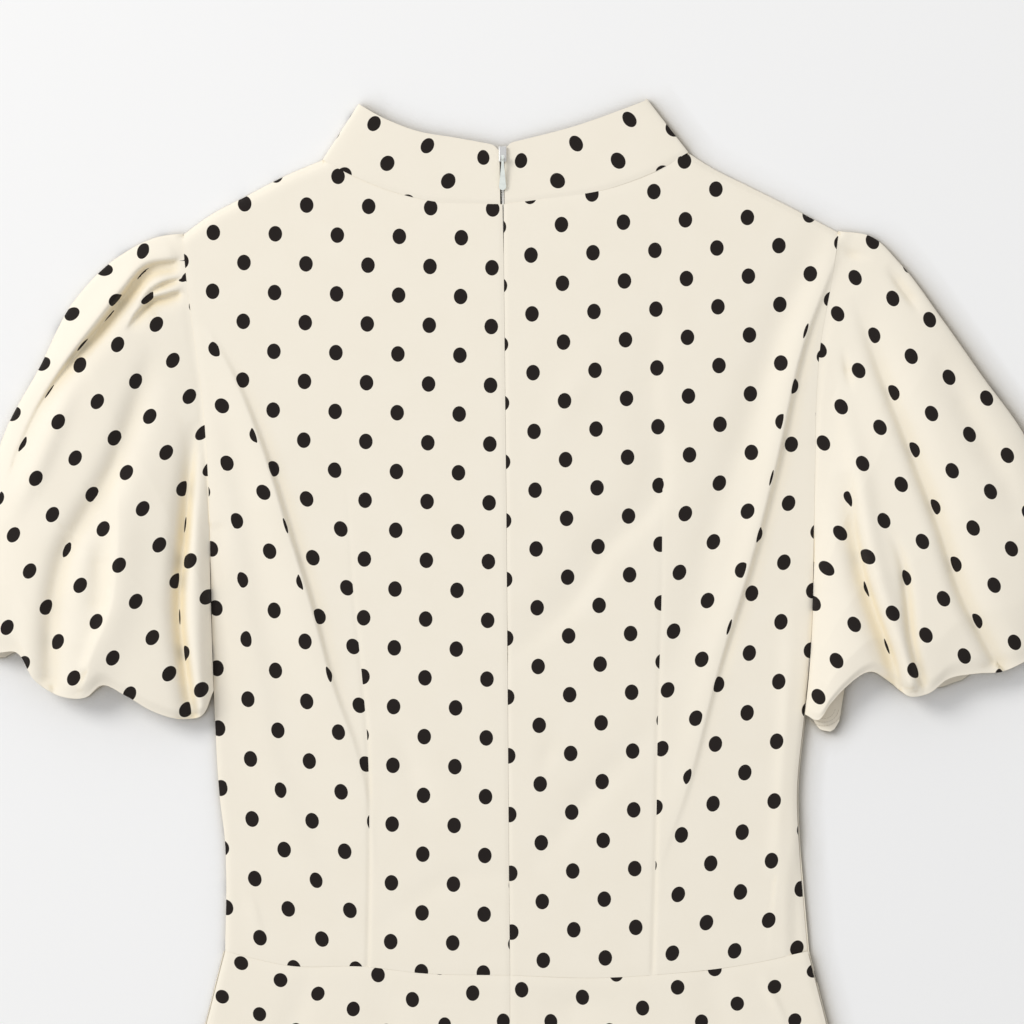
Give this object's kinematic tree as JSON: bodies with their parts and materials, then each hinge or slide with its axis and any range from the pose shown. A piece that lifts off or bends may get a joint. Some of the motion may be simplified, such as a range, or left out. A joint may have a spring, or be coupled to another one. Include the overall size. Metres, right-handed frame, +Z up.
{
  "type": "a-line dress",
  "caption": "Short-sleeved A-line dress with a stand collar, dotted crepe, laid flat on its front with the zipped back up.",
  "frame": {"origin": "on the surface, under the middle of the waist and the centre back seam", "axes": "+Z up from the surface through the front to the back, +Y from the hem to the collar, +X to the wearer's right"},
  "size_m": [0.6377, 1.1069, 0.0266],
  "materials": {
    "cream_crepe": "matt crepe, cream with black-brown dots",
    "zip_coil": "fine nylon coil",
    "zip_metal": "plated",
    "pull_white": "enamelled, pale mint white"
  },
  "bodies": {
    "dress": {"front_bodice": "cream_crepe", "back_bodice_left": "cream_crepe", "back_bodice_right": "cream_crepe", "front_skirt": "cream_crepe", "back_skirt_left": "cream_crepe", "back_skirt_right": "cream_crepe", "collar": "cream_crepe", "sleeve_left": "cream_crepe", "sleeve_right": "cream_crepe", "zip_coil": "zip_coil", "zip_slider": "zip_metal"},
    "pull": {"zip_pull": "pull_white"}
  },
  "joints": [
    {"name": "zip_pull_flip", "type": "hinge", "parent": "dress", "child": "pull", "pos_m": [-0.00412, 0.4534, 0.0099], "axis": [-1, 0, 0], "range_deg": [0, 180]}
  ]
}
